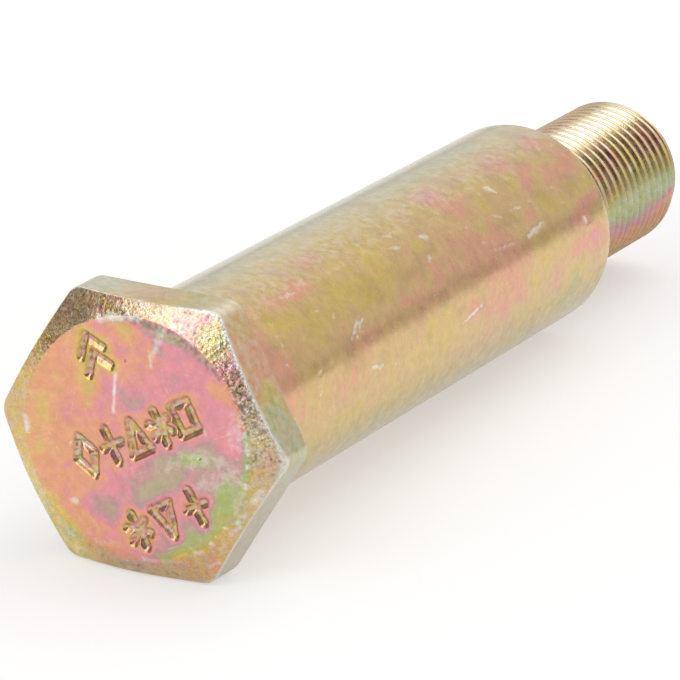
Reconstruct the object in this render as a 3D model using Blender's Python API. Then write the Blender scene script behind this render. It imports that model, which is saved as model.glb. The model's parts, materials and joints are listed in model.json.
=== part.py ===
"""Hexagon-head shoulder bolt, one turned and headed piece of yellow zinc-plated steel.

The bolt is modelled about its own Z axis, with the bearing face under the head at z = 0,
the head below it and the shank above it. It is then laid on its side as it comes to rest:
one flat of the head and the far rim of the shoulder touch the ground, and the thread
hangs clear of it.
"""
import math

import bmesh
import bpy
from mathutils import Matrix, Vector

MM = 0.001

# Hexagon head
ACROSS_FLATS = 26.8 * MM
HEAD_HEIGHT = 6.4 * MM
CORNER_RADIUS = 1.8 * MM            # rounding of the six upright corners
TOP_FACE_INSET = 1.5 * MM           # from a flat in to the round top face
TOP_CHAMFER_ANGLE = math.radians(24.0)
UNDER_FACE_OUTSET = 0.9 * MM        # from a flat out to where the corners are trimmed below
UNDER_CHAMFER_ANGLE = math.radians(30.0)

# Plain ground shoulder
SHOULDER_DIAMETER = 22.0 * MM
SHOULDER_LENGTH = 75.0 * MM
UNDER_HEAD_FILLET = 0.7 * MM
SHOULDER_CHAMFER = 0.45 * MM

# Metric fine thread, right-handed
THREAD_DIAMETER = 15.95 * MM
THREAD_PITCH = 1.5 * MM
THREAD_LENGTH = 24.4 * MM
THREAD_CHAMFER = 1.0 * MM           # at the tip, cut at 45 degrees
THREAD_RUNOUT = 1.2 * MM            # over which the groove dies out at the shoulder
CREST_SHARE = 1.0 / 8.0             # flat crest, as a share of the pitch
DEPTH_SHARE = 17.0 / 24.0 * math.cos(math.radians(30.0))   # groove depth, as a share of the pitch
FLANK_ANGLE = math.radians(30.0)

# Facets
STEPS_PER_SIDE = 8                  # columns of facets across one flat, between the corner arcs
FILLET_STEPS = 3

PLATING_COLOUR = (0.66, 0.47, 0.25, 1.0)
PLATING_ROUGHNESS = 0.34

SIDES = 6
SECTOR = 2.0 * math.pi / SIDES


def clear_scene():
    for item in list(bpy.data.objects):
        bpy.data.objects.remove(item, do_unlink=True)


def corner_half_angle():
    """Half of the angle, seen from the axis, that one corner rounding takes."""
    half_side = ACROSS_FLATS / 2.0 * math.tan(SECTOR / 2.0)
    tangent = CORNER_RADIUS * math.tan(SECTOR / 2.0)
    return SECTOR / 2.0 - math.atan2(half_side - tangent, ACROSS_FLATS / 2.0)


def column_angles():
    """Angles of the facet columns: a corner, the end of its arc, and even steps to the next arc."""
    half = corner_half_angle()
    span = SECTOR - 2.0 * half
    angles = []
    for side in range(SIDES):
        start = side * SECTOR
        angles.append(start)
        angles += [start + half + span * step / STEPS_PER_SIDE for step in range(STEPS_PER_SIDE + 1)]
    return angles


def hexagon_radius(angle):
    """Distance from the axis to the side of the head, with its rounded corners."""
    from_corner = (angle + SECTOR / 2.0) % SECTOR - SECTOR / 2.0
    if abs(from_corner) < corner_half_angle():
        corner = ACROSS_FLATS / 2.0 / math.cos(SECTOR / 2.0)
        centre = corner - CORNER_RADIUS / math.cos(SECTOR / 2.0)
        across = centre * math.sin(from_corner)
        return centre * math.cos(from_corner) + math.sqrt(CORNER_RADIUS ** 2 - across ** 2)
    from_middle = SECTOR / 2.0 - abs(from_corner)
    return ACROSS_FLATS / 2.0 / math.cos(from_middle)


def head_sections():
    """The head from its round top face to the bearing face, as functions angle -> (radius, z)."""
    top_radius = ACROSS_FLATS / 2.0 - TOP_FACE_INSET
    under_radius = ACROSS_FLATS / 2.0 + UNDER_FACE_OUTSET

    def top_face(angle):
        return top_radius, -HEAD_HEIGHT

    def top_chamfer(angle):
        radius = hexagon_radius(angle)
        drop = (radius - top_radius) * math.tan(TOP_CHAMFER_ANGLE)
        return radius, -HEAD_HEIGHT + drop

    def under_chamfer(angle):
        radius = hexagon_radius(angle)
        return radius, -max(0.0, radius - under_radius) * math.tan(UNDER_CHAMFER_ANGLE)

    def bearing_face(angle):
        return min(hexagon_radius(angle), under_radius), 0.0

    return [top_face, top_chamfer, under_chamfer, bearing_face]


def shoulder_sections():
    """The fillet under the head, the plain shoulder and the chamfer at its far end."""
    radius = SHOULDER_DIAMETER / 2.0
    profile = []
    for step in range(FILLET_STEPS + 1):
        turn = math.pi / 2.0 * step / FILLET_STEPS
        out = UNDER_HEAD_FILLET * (1.0 - math.sin(turn))
        along = UNDER_HEAD_FILLET * (1.0 - math.cos(turn))
        profile.append((radius + out, along))
    profile.append((radius, SHOULDER_LENGTH - SHOULDER_CHAMFER))
    profile.append((radius - SHOULDER_CHAMFER, SHOULDER_LENGTH))
    return [lambda angle, point=point: point for point in profile]


def thread_sections():
    """The thread as one helical row for each edge of its profile.

    A row lies a pitch further along after a full turn, so the last column of a row
    meets the first column of the row one turn later. Rows that would start before the
    thread or end after it collapse onto its first or last circle.
    """
    crest_radius = THREAD_DIAMETER / 2.0
    depth = DEPTH_SHARE * THREAD_PITCH
    crest = CREST_SHARE * THREAD_PITCH
    flank = depth * math.tan(FLANK_ANGLE)
    tip_radius = crest_radius - THREAD_CHAMFER
    # place along one pitch and share of the groove's depth at each edge of the profile
    edges = [(0.0, 0.0), (crest, 0.0), (crest + flank, 1.0), (THREAD_PITCH - flank, 1.0)]

    def row(turn, place, share):
        def section(angle):
            along = (turn + angle / (2.0 * math.pi)) * THREAD_PITCH + place
            along = min(max(along, 0.0), THREAD_LENGTH)
            runout = min(1.0, along / THREAD_RUNOUT)
            radius = crest_radius - share * depth * runout
            radius = min(radius, tip_radius + THREAD_LENGTH - along)
            return radius, SHOULDER_LENGTH + along
        return section

    turns = math.ceil(THREAD_LENGTH / THREAD_PITCH)
    rows = [row(turn, place, share) for turn in range(-1, turns) for place, share in edges]
    rows.append(row(turns, 0.0, 0.0))
    return rows, len(edges)


def add_rows(mesh, sections, angles):
    """One row of vertices for each section. A vertex that doesn't move is used again."""
    rows = []
    for section in sections:
        row = []
        for column, angle in enumerate(angles):
            radius, z = section(angle)
            place = Vector((radius * math.cos(angle), radius * math.sin(angle), z))
            last = rows[-1][column] if rows else None
            if last is not None and (last.co - place).length < 1e-7:
                row.append(last)
            else:
                row.append(mesh.verts.new(place))
        rows.append(row)
    return rows


def bridge(mesh, near, far, seam_near=None, seam_far=None):
    """Faces between two rows. The seam rows are those that the last column closes on."""
    count = len(near)
    for column in range(count):
        closes = column == count - 1
        near_next = (seam_near or near)[0] if closes else near[column + 1]
        far_next = (seam_far or far)[0] if closes else far[column + 1]
        corners = []
        for vertex in (near[column], near_next, far_next, far[column]):
            if vertex not in corners:
                corners.append(vertex)
        if len(corners) > 2 and mesh.faces.get(corners) is None:
            mesh.faces.new(corners)


def build_bolt_mesh():
    angles = column_angles()
    mesh = bmesh.new()
    body = add_rows(mesh, head_sections() + shoulder_sections(), angles)
    for near, far in zip(body, body[1:]):
        bridge(mesh, near, far)

    sections, edges_per_turn = thread_sections()
    thread = add_rows(mesh, sections, angles)
    bridge(mesh, body[-1], thread[0])
    last = len(thread) - 1
    for index in range(last):
        seam_near = thread[min(index + edges_per_turn, last)]
        seam_far = thread[min(index + 1 + edges_per_turn, last)]
        bridge(mesh, thread[index], thread[index + 1], seam_near, seam_far)

    mesh.faces.new(list(reversed(body[0])))
    mesh.faces.new(thread[-1])
    bmesh.ops.recalc_face_normals(mesh, faces=mesh.faces)
    data = bpy.data.meshes.new("shoulder_bolt")
    mesh.to_mesh(data)
    mesh.free()
    return data


def plating_material():
    material = bpy.data.materials.new("yellow_zinc_plating")
    material.use_nodes = True
    shader = material.node_tree.nodes["Principled BSDF"]
    shader.inputs["Base Color"].default_value = PLATING_COLOUR
    shader.inputs["Metallic"].default_value = 1.0
    shader.inputs["Roughness"].default_value = PLATING_ROUGHNESS
    material.diffuse_color = PLATING_COLOUR
    return material


def lay_down(bolt):
    """Turns the bolt onto one flat and the shoulder's far rim, centred over the origin."""
    drop = (ACROSS_FLATS - SHOULDER_DIAMETER) / 2.0
    tilt = math.atan2(drop, SHOULDER_LENGTH - SHOULDER_CHAMFER)
    turn = -(math.pi / 2.0 + tilt)
    turned = [Matrix.Rotation(turn, 3, "X") @ vertex.co for vertex in bolt.data.vertices]
    lows = [min(place[axis] for place in turned) for axis in range(3)]
    highs = [max(place[axis] for place in turned) for axis in range(3)]
    bolt.rotation_euler = (turn, 0.0, 0.0)
    bolt.location = (-(lows[0] + highs[0]) / 2.0, -(lows[1] + highs[1]) / 2.0, -lows[2])


def build():
    clear_scene()
    bolt = bpy.data.objects.new("shoulder_bolt", build_bolt_mesh())
    bpy.context.scene.collection.objects.link(bolt)
    bolt.data.materials.append(plating_material())
    bolt.data.shade_smooth()
    bolt.data.set_sharp_from_angle(angle=math.radians(25.0))
    lay_down(bolt)


build()
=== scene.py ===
import json
import math

import bmesh
import bpy
import numpy as np
from mathutils import Matrix, Vector, noise


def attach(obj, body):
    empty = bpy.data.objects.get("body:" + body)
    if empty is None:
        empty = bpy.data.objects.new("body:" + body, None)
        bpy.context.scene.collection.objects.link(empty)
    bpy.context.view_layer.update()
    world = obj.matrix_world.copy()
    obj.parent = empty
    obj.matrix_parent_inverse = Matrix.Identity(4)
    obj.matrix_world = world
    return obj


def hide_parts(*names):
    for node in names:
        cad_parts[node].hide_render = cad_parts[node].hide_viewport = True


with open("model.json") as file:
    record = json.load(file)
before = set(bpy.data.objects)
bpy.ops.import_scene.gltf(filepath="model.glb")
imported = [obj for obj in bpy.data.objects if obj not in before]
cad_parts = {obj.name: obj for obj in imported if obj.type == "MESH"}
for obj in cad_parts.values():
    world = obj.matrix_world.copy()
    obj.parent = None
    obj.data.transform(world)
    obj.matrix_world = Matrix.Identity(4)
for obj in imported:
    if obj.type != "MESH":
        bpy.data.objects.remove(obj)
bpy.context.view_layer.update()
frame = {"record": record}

MM = 0.001

# Where the bolt lies, from the frame's mounts
MOUNTS = {mount["name"]: mount for mount in frame["record"]["mounts"]}
PLACES = {name: Vector(mount["pos_m"]) for name, mount in MOUNTS.items()}
ALONG = Vector(MOUNTS["bearing_face"]["axis"]).normalized()
HEAD_CENTRE = PLACES["head_face"]
HEAD_HEIGHT = (PLACES["bearing_face"] - HEAD_CENTRE).dot(ALONG)
ORIGIN = HEAD_CENTRE + ALONG * HEAD_HEIGHT
TILT = math.atan2(-ALONG.z, ALONG.y)
SHOULDER_LENGTH = (PLACES["shoulder_end_face"] - ORIGIN).dot(ALONG)
THREAD_LENGTH = (PLACES["thread_tip_face"] - ORIGIN).dot(ALONG) - SHOULDER_LENGTH
FLAT = (PLACES["wrench_flat"] - ORIGIN).dot(Vector(MOUNTS["wrench_flat"]["axis"]))

# Head
HALF_SECTOR = math.pi / 6.0         # seen from the axis, from a corner to the middle of a flat
CORNER_RADIUS = 1.8 * MM
FACE_RADIUS = FLAT - 1.5 * MM
TOP_CHAMFER_ANGLE = math.radians(24.0)
UNDER_FACE_RADIUS = FLAT + 0.9 * MM
UNDER_CHAMFER_ANGLE = math.radians(30.0)
REAR_EDGE_WIDTH = 0.6 * MM          # of the broken edge between the flats and the bearing face
REAR_EDGE_DROP = 0.8 * MM
FACE_EDGE_ROUNDING = 0.45 * MM
FRONT_EDGE_ROUNDING = 0.2 * MM
REAR_EDGE_ROUNDING = 0.45 * MM

# Shank
SHOULDER_RADIUS = 11.0 * MM
FILLET = 0.7 * MM
SHOULDER_CHAMFER = 0.45 * MM
THREAD_RADIUS = 7.975 * MM
PITCH = 1.5 * MM
THREAD_DEPTH = 0.61 * PITCH
CREST_SHARE = 0.17                  # of the pitch, with its rounded edges
ROOT_SHARE = 0.13
THREAD_CHAMFER = 1.0 * MM
THREAD_RUNOUT = 1.2 * MM

# Mesh steps
SHANK_COLUMNS = 192
HEAD_COLUMNS = SHANK_COLUMNS * 3
THREAD_COLUMNS = SHANK_COLUMNS // 2
HEAD_STEPS = [2, 14, 12, 1, 2]      # face, chamfer, flats, broken edge, bearing face
ARC_STEPS = 4
FILLET_STEPS = 6
SHOULDER_STEPS = 84
THREAD_STEPS = 12                   # rows of points in one pitch

FACE, SIDE, SHOULDER, THREAD = range(4)      # material slots


def smooth_step(low, high, value):
    share = np.clip((value - low) / (high - low), 0.0, 1.0)
    return share * share * (3.0 - 2.0 * share)


def hump(value, reach):
    """1 where the value is zero, falling softly to nothing past its reach on both sides."""
    return np.exp(-(value / reach) ** 2)


def unit(vectors):
    return vectors / np.maximum(np.linalg.norm(vectors, axis=-1, keepdims=True), 1e-12)


def add_object(name, data):
    item = bpy.data.objects.new(name, data)
    bpy.context.scene.collection.objects.link(item)
    return item


# Outline of the head

def from_corner(angle):
    return (angle + HALF_SECTOR) % (2.0 * HALF_SECTOR) - HALF_SECTOR


def hexagon_radius(angle):
    """Distance from the axis to the side of the head, with its rounded corners."""
    off = from_corner(angle)
    centre = (FLAT - CORNER_RADIUS) / math.cos(HALF_SECTOR)
    rounded_angle = HALF_SECTOR - math.atan2((FLAT - CORNER_RADIUS) * math.tan(HALF_SECTOR), FLAT)
    beside = centre * np.sin(off)
    rounded = centre * np.cos(off) + np.sqrt(np.maximum(CORNER_RADIUS ** 2 - beside ** 2, 0.0))
    straight = FLAT / np.cos(HALF_SECTOR - np.abs(off))
    return np.where(np.abs(off) < rounded_angle, rounded, straight)


def front_place(radius):
    """Where along the bolt its front lies, which is the face and the chamfer round it."""
    return -HEAD_HEIGHT + np.maximum(radius - FACE_RADIUS, 0.0) * math.tan(TOP_CHAMFER_ANGLE)


def straight_rows(near, far, count):
    return [near + (far - near) * step / count for step in range(1, count + 1)]


def rounded_profile(corners, radii, steps):
    """Points along a profile of (radius, place) corners, each column with its own corners.

    corners is a list of pairs of arrays. The corners between the first and the last are
    rounded by radii, and steps gives how many steps each straight stretch takes.
    """
    points = [np.stack(pair, axis=-1) for pair in corners]
    rows = [points[0]]
    for before, corner, after, rounding, count in zip(points, points[1:], points[2:], radii, steps):
        back, ahead = before - corner, after - corner
        room = np.minimum(np.linalg.norm(back, axis=-1), np.linalg.norm(ahead, axis=-1))[:, None]
        back, ahead = unit(back), unit(ahead)
        half = np.arccos(np.clip((back * ahead).sum(-1), -1.0, 1.0))[:, None] / 2.0
        tangent = np.minimum(rounding / np.tan(half), room * 0.45)
        radius = tangent * np.tan(half)
        centre = corner + unit(back + ahead) * radius / np.sin(half)
        first, last = corner + back * tangent, corner + ahead * tangent
        rows += straight_rows(rows[-1], first, count)
        for step in range(1, ARC_STEPS):
            rows.append(centre + unit(first + (last - first) * step / ARC_STEPS - centre) * radius)
        rows.append(last)
    return rows + straight_rows(rows[-1], points[-1], steps[-1])


# The bolt's surface

def round_angles(columns):
    return np.arange(columns) * math.tau / columns


class Shell:
    """Rows of points round the bolt, and the faces between them, kept in bolt space."""

    def __init__(self):
        self.points = []
        self.faces = []
        self.materials = []

    def add_points(self, points):
        first = len(self.points)
        self.points += points.tolist()
        return list(range(first, len(self.points)))

    def add_row(self, angles, radius, place):
        """Gives the numbers of the row's points, with the first again at the end."""
        radius, place, angles = np.broadcast_arrays(radius, place, angles)
        row = self.add_points(np.stack((radius * np.cos(angles), place, radius * np.sin(angles)), axis=-1))
        return [*row, row[0]]

    def add_face(self, corners, material):
        self.faces.append(corners)
        self.materials.append(material)

    def bridge(self, near, far, material):
        """Faces between two rows. Corners that meet count once."""
        for corners in zip(near, far, far[1:], near[1:]):
            corners = tuple(dict.fromkeys(corners))
            if len(corners) > 2:
                self.add_face(corners, material)

    def thin(self, near, far, material):
        """Faces from a row to one with a half or a third of its columns."""
        ratio = (len(near) - 1) // (len(far) - 1)
        for column, (vertex, following) in enumerate(zip(far, far[1:])):
            fan = near[ratio * column:ratio * (column + 1) + 1]
            for first, second in zip(fan[:-2], fan[1:]):
                self.add_face((first, vertex, second), material)
            self.add_face((fan[-2], vertex, following, fan[-1]), material)

    def disc(self, row, material, faces_front):
        """A grid of squares, bent to the circle of the row, that fills it without a pole."""
        row = np.array(row[:-1])
        side = len(row) // 4
        ring = np.array(self.points)[row]
        radius = float(np.hypot(ring[:, 0], ring[:, 2]).mean())
        steps = np.linspace(-1.0, 1.0, side + 1)
        across, up = np.meshgrid(steps, steps, indexing="ij")
        reach = np.maximum(np.abs(across), np.abs(up))
        wide = np.abs(across) >= np.abs(up)
        share = np.divide(np.where(wide, up, across), np.where(wide, across, up),
                          out=np.zeros_like(across), where=reach > 0)
        angle = np.where(wide, share * math.pi / 4.0, math.pi / 2.0 - share * math.pi / 4.0)
        radius = np.sign(np.where(wide, across, up)) * reach * radius
        grid = np.stack((radius * np.cos(angle), np.full_like(reach, ring[:, 1].mean()),
                         radius * np.sin(angle)), axis=-1)
        ids = np.full((side + 1, side + 1), -1)
        turn = np.round(np.arctan2(grid[..., 2], grid[..., 0]) / math.tau * len(row)).astype(int)
        rim = reach > 1.0 - 1e-9
        ids[rim] = row[turn[rim] % len(row)]
        ids[~rim] = self.add_points(grid[~rim])
        squares = np.stack((ids[:-1, :-1], ids[1:, :-1], ids[1:, 1:], ids[:-1, 1:]), axis=-1)
        for corners in squares.reshape(-1, 4).tolist():
            self.add_face(corners if faces_front else corners[::-1], material)


def add_head(shell):
    """The head from the middle of its face to the bearing face. Returns the last row."""
    angles = round_angles(HEAD_COLUMNS)
    radius = hexagon_radius(angles)
    under = np.maximum(radius - UNDER_FACE_RADIUS, REAR_EDGE_WIDTH)
    drop = np.maximum(under * math.tan(UNDER_CHAMFER_ANGLE), REAR_EDGE_DROP)
    corners = [
        (FACE_RADIUS - 0.6 * MM, -HEAD_HEIGHT),
        (FACE_RADIUS, -HEAD_HEIGHT),
        (radius, front_place(radius)),
        (radius, -drop),
        (radius - under, 0.0),
        (SHOULDER_RADIUS + FILLET + 0.35 * MM, 0.0),
    ]
    corners = [np.broadcast_arrays(*pair, angles)[:2] for pair in corners]
    radii = [FACE_EDGE_ROUNDING, FRONT_EDGE_ROUNDING, REAR_EDGE_ROUNDING, REAR_EDGE_ROUNDING]
    last_front_row = HEAD_STEPS[0] + ARC_STEPS + HEAD_STEPS[1] + 1
    ids = []
    for index, row in enumerate(rounded_profile(corners, radii, HEAD_STEPS)):
        ids.append(shell.add_row(angles, row[:, 0], row[:, 1]))
        if index:
            shell.bridge(ids[-2], ids[-1], FACE if index <= last_front_row else SIDE)
    shell.disc(ids[0], FACE, True)
    return ids[-1]


def add_shoulder(shell, head_row):
    """The fillet, the plain shoulder and the ring at its far end. Returns the last row."""
    angles = round_angles(SHANK_COLUMNS)
    profile = []
    for step in range(FILLET_STEPS + 1):
        turn = math.pi / 2.0 * step / FILLET_STEPS
        profile.append((SHOULDER_RADIUS + FILLET * (1.0 - math.sin(turn)), FILLET * (1.0 - math.cos(turn))))
    end = SHOULDER_LENGTH - SHOULDER_CHAMFER
    plain_length = end - 0.12 * MM - FILLET
    rim = SHOULDER_RADIUS - SHOULDER_CHAMFER
    profile += [(SHOULDER_RADIUS, FILLET + plain_length * step / SHOULDER_STEPS)
                for step in range(1, SHOULDER_STEPS + 1)]
    profile += [
        (SHOULDER_RADIUS - 0.03 * MM, end + 0.03 * MM), (rim + 0.04 * MM, SHOULDER_LENGTH - 0.05 * MM),
        (rim - 0.08 * MM, SHOULDER_LENGTH), (THREAD_RADIUS + 0.8 * MM, SHOULDER_LENGTH),
    ]
    row = shell.add_row(angles, *profile[0])
    shell.thin(head_row, row, SIDE)
    for radius, place in profile[1:]:
        following = shell.add_row(angles, radius, place)
        shell.bridge(row, following, SHOULDER)
        row = following
    return row


def add_thread_blank(shell, shoulder_row):
    """The plain end that the thread is cut into, in rows that follow the thread's helix."""
    angles = round_angles(THREAD_COLUMNS)
    turns = math.ceil(THREAD_LENGTH / PITCH)
    rows = []
    for index in range((turns + 1) * THREAD_STEPS + 1):
        along = np.clip((index / THREAD_STEPS - angles / math.tau) * PITCH, 0.0, THREAD_LENGTH)
        tip = THREAD_RADIUS - THREAD_CHAMFER + (THREAD_LENGTH - along)
        rows.append(shell.add_row(angles, np.minimum(THREAD_RADIUS, tip), SHOULDER_LENGTH + along))
        # after a turn, a row meets the start of the one that lies a pitch back
        rows[-1][-1] = rows[max(index - THREAD_STEPS, 0)][0]
    shell.thin(shoulder_row, rows[0], THREAD)
    for near, far in zip(rows, rows[1:]):
        shell.bridge(near, far, THREAD)
    return rows[-1]


def refine_round_nicks(mesh):
    """Splits the shoulder's faces where a nick needs finer ones."""
    faces = [face for face in mesh.faces if face.material_index == SHOULDER]
    near = nick_depths(*unroll(np.array([face.calc_center_median() for face in faces])), NICK_MARGIN) > 0.0
    edges = {edge for face, chosen in zip(faces, near) if chosen for edge in face.edges}
    bmesh.ops.subdivide_edges(mesh, edges=list(edges), cuts=NICK_CUTS, use_grid_fill=True)


def build_bolt():
    """The bolt's plain closed surface, with a round end for the thread."""
    shell = Shell()
    row = add_thread_blank(shell, add_shoulder(shell, add_head(shell)))
    shell.disc(row, THREAD, False)
    mesh = bpy.data.meshes.new("bolt_surface")
    mesh.from_pydata(shell.points, [], shell.faces)
    mesh.polygons.foreach_set("material_index", shell.materials)
    weld = bmesh.new()
    weld.from_mesh(mesh)
    bmesh.ops.remove_doubles(weld, verts=weld.verts, dist=1e-7)
    refine_round_nicks(weld)
    bmesh.ops.recalc_face_normals(weld, faces=weld.faces)
    weld.to_mesh(mesh)
    weld.free()
    mesh.validate()
    return mesh


# Plating tones, as the order of colours that the film on zinc runs through as it gets thicker.
# The order repeats: a tone and the same tone plus AGAIN look alike.
LIME, YELLOW, GOLD, ORANGE, ROSE = 0.0, 0.12, 0.24, 0.37, 0.5
DUSK, TAUPE, MINT, GREEN, OLIVE = 0.61, 0.71, 0.79, 0.87, 0.94
AGAIN = 1.0

# Punched marks on the head: plain figures made of straight strokes
MARK_DEPTH = 0.30 * MM
MARK_FLOOR = 0.14 * MM              # half the width of a stroke at its bottom
MARK_REACH = 0.58 * MM              # half its width at the face
MARK_RAGGED = 0.09 * MM             # how far its wall wanders
MARK_LIP = 0.035 * MM
MARK_LIP_PLACE = 0.78 * MM          # from the middle of a stroke
MARK_LIP_WIDTH = 0.2 * MM
MARK_WALL = 0.42                    # from the middle of a stroke to the middle of its wall, in millimetres
FAR = 99.0                          # millimetres, for points that no mark is near
CHAMFER_START = 11.9                # radius where the chamfer's looks begin, in millimetres
MOST_PAINT = 1.2                    # of wear, grime or grain. 1 is full, and more holds up against noise.

# Heights of the soft waves, the grain and the dings on the bolt
FACE_WAVE = 0.035 * MM
FACE_RIPPLE = 0.012 * MM
GRAIN_HEIGHT = 0.035 * MM
SIDE_WAVE = 0.02 * MM
EDGE_DING = 0.10 * MM
SHANK_WAVE = 0.012 * MM
THREAD_DING = 0.05 * MM
NICK_DEPTH = 0.045 * MM
NICK_MARGIN = 0.25                  # round each nick, in millimetres, that gets finer faces
NICK_CUTS = 2


def closed(*corners):
    return [*zip(corners, corners[1:]), (corners[-1], corners[0])]


DIAMOND = closed((0, 1.9), (1.05, 0), (0, -1.9), (-1.05, 0))
TRIANGLE = closed((-1.05, -1.5), (1.05, -1.5), (0, 1.6))
SQUARE = closed((-0.95, -1.4), (0.95, -1.4), (0.95, 1.4), (-0.95, 1.4))
PLUS = [((-1.05, 0), (1.05, 0)), ((0, -1.7), (0, 1.7))]
STAR = [((0, -1.7), (0, 1.7)), ((-1.05, -0.7), (1.05, 0.7)), ((-1.05, 0.7), (1.05, -0.7))]
CHEVRONS = [((-1.3, 0.1), (0, 1.8)), ((0, 1.8), (1.3, 0.1)),
            ((-1.3, -1.7), (0, 0)), ((0, 0), (1.3, -1.7))]

# Each mark's figure, place across and up the face, turn, and tone of the film round it
MARKS = [
    (CHEVRONS, -4.7, 7.7, 30, YELLOW - 0.02), (DIAMOND, -5.2, -2.5, 30, ORANGE), (PLUS, -2.5, -1, 30, ORANGE),
    (TRIANGLE, 0.1, 0.3, 30, ORANGE), (STAR, 2.7, 1.7, 30, ORANGE), (SQUARE, 5.2, 3.1, 30, ORANGE),
    (STAR, 0.6, -8.9, 32, GOLD + 0.02), (TRIANGLE, 3.6, -7.3, 212, ORANGE + 0.04),
    (PLUS, 6.6, -5.3, 32, ROSE - 0.05),
]

# Ovals are given by the place of their middle, their two reaches and their turn.
# Dents in the head's face: oval across and up the face, and depth
DENTS = [
    (-1.3, 7.7, 0.3, 0.25, 0, 0.1), (6.8, -0.4, 0.35, 0.3, 0, 0.12), (-2.9, 11.5, 1.5, 0.5, 6, 0.09),
    (-6, 8, 0.4, 0.3, 0, 0.12), (9.6, -5.9, 0.5, 0.3, 30, 0.05), (-8.4, 3, 0.5, 0.3, 60, 0.03),
    (3.6, 9.1, 0.6, 0.25, 70, 0.03), (12.6, -3.4, 0.9, 0.5, 60, 0.07), (11.2, -5.8, 0.6, 0.4, 50, 0.06),
    (-11.8, -0.6, 0.4, 0.9, 0, 0.04),
]

# Soft fields of tone on the head's face: oval, tone and strength
FACE_FIELDS = [
    (-7.5, 1, 5, 7, 0, ORANGE - 0.02, 0.9), (-10.5, 0.5, 2.2, 4, 0, GOLD + 0.02, 0.7),
    (5, 6.6, 7.5, 4.6, -25, ROSE, 1), (-3.2, 2.6, 3, 2, 20, ROSE - 0.04, 0.7),
    (0.2, 9.4, 3.2, 2.2, 0, ORANGE, 0.7), (-1.6, 10.6, 2, 1, 0, GOLD, 0.9),
    (-0.6, 3.9, 2.8, 1.1, -8, DUSK + 0.06, 0.75), (9.2, 1.2, 2.4, 2.4, 0, ROSE, 0.8),
    (3, -1.6, 4.4, 2.6, 30, TAUPE + 0.02, 0.9), (6.6, -0.9, 2.6, 1.2, 10, GREEN + 0.04, 0.8),
    (7.4, -3.2, 2, 1.2, 10, DUSK + 0.03, 0.8), (-0.8, -4.2, 2.8, 2, 20, ROSE + 0.04, 0.8),
    (-1.8, -3, 1.8, 0.8, 0, ORANGE - 0.02, 0.7), (2.6, -4.4, 3, 1.3, 35, TAUPE + 0.05, 0.8),
    (-3.4, -7.2, 2, 1.3, 10, TAUPE - 0.05, 0.75), (-2.8, -10.2, 4.4, 1.3, 5, ORANGE + 0.07, 0.9),
    (-0.8, -11.4, 3, 0.6, 0, ORANGE - 0.05, 0.7), (-8.3, -6.2, 2.6, 3.2, 20, ORANGE + 0.02, 0.8),
    (-5.2, -5.6, 1.8, 0.9, 0, ORANGE, 0.7), (-5.2, -9.3, 1.5, 0.9, 0, GOLD + 0.02, 0.8),
    (-9.6, -3, 1.4, 1.2, 0, GOLD + 0.03, 0.6), (5, -8.6, 5, 2.2, 24, DUSK + 0.03, 0.9),
    (10.4, -4.6, 1.8, 5, -10, TAUPE + 0.02, 0.9), (9.4, -5.2, 1.15, 3.5, -6, GREEN + 0.03, 1),
    (6.2, -9.4, 3.4, 0.8, 30, GREEN + 0.04, 0.85), (2.8, -10.9, 2.8, 0.5, 8, GREEN, 0.55),
    (6.6, -10.7, 3.6, 0.8, 26, GOLD - 0.03 + AGAIN, 0.85), (9.6, -9, 2.2, 0.8, 50, GOLD - 0.02 + AGAIN, 0.8),
    (2.6, 9.7, 0.5, 1.3, -18, TAUPE + 0.08, 0.7), (-5.7, 5, 1.7, 1.1, 0, GOLD - 0.03, 0.9),
    (-5.2, 3, 0.5, 0.5, 0, GOLD, 0.9), (-9.9, 1, 0.8, 0.6, 0, GOLD - 0.04, 0.8),
    (-8.7, 2.9, 0.5, 0.3, 30, GOLD - 0.04, 0.7), (-10.4, -2.2, 0.5, 0.7, 0, GOLD - 0.06, 0.7),
    (-8.6, 5, 0.4, 0.3, 0, GOLD - 0.04, 0.6), (9, 6.3, 1.4, 0.9, -40, ORANGE - 0.04, 0.8),
    (4, 10.9, 4.6, 0.9, -14, TAUPE + 0.06, 0.85), (7.6, 9.1, 1.8, 0.9, -40, GREEN - 0.06, 0.8),
    (-9.4, 7.4, 1.2, 1.8, -40, GOLD + 0.04, 0.7), (-7.2, 9.1, 1.3, 1.1, 0, GOLD + 0.03, 0.7),
    (-9.4, -8.2, 1.2, 1.6, 30, GOLD, 0.8), (-7, -10.4, 2.2, 0.9, -40, YELLOW + 0.03, 0.8),
    (-6, 0.9, 1.8, 1.3, 0, ORANGE + 0.1, 0.8), (-7.2, -1.2, 1.4, 0.7, 0, ORANGE + 0.05, 0.7),
    (-2.8, 6.9, 0.9, 1.3, 0, ORANGE + 0.03, 0.8), (-5, -9, 1.3, 0.7, 0, ORANGE + 0.04, 0.7),
    (9.8, -0.6, 1.2, 0.8, 0, DUSK + 0.04, 0.7), (7, 9.3, 1.2, 0.7, -40, TAUPE, 0.6),
]

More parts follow.
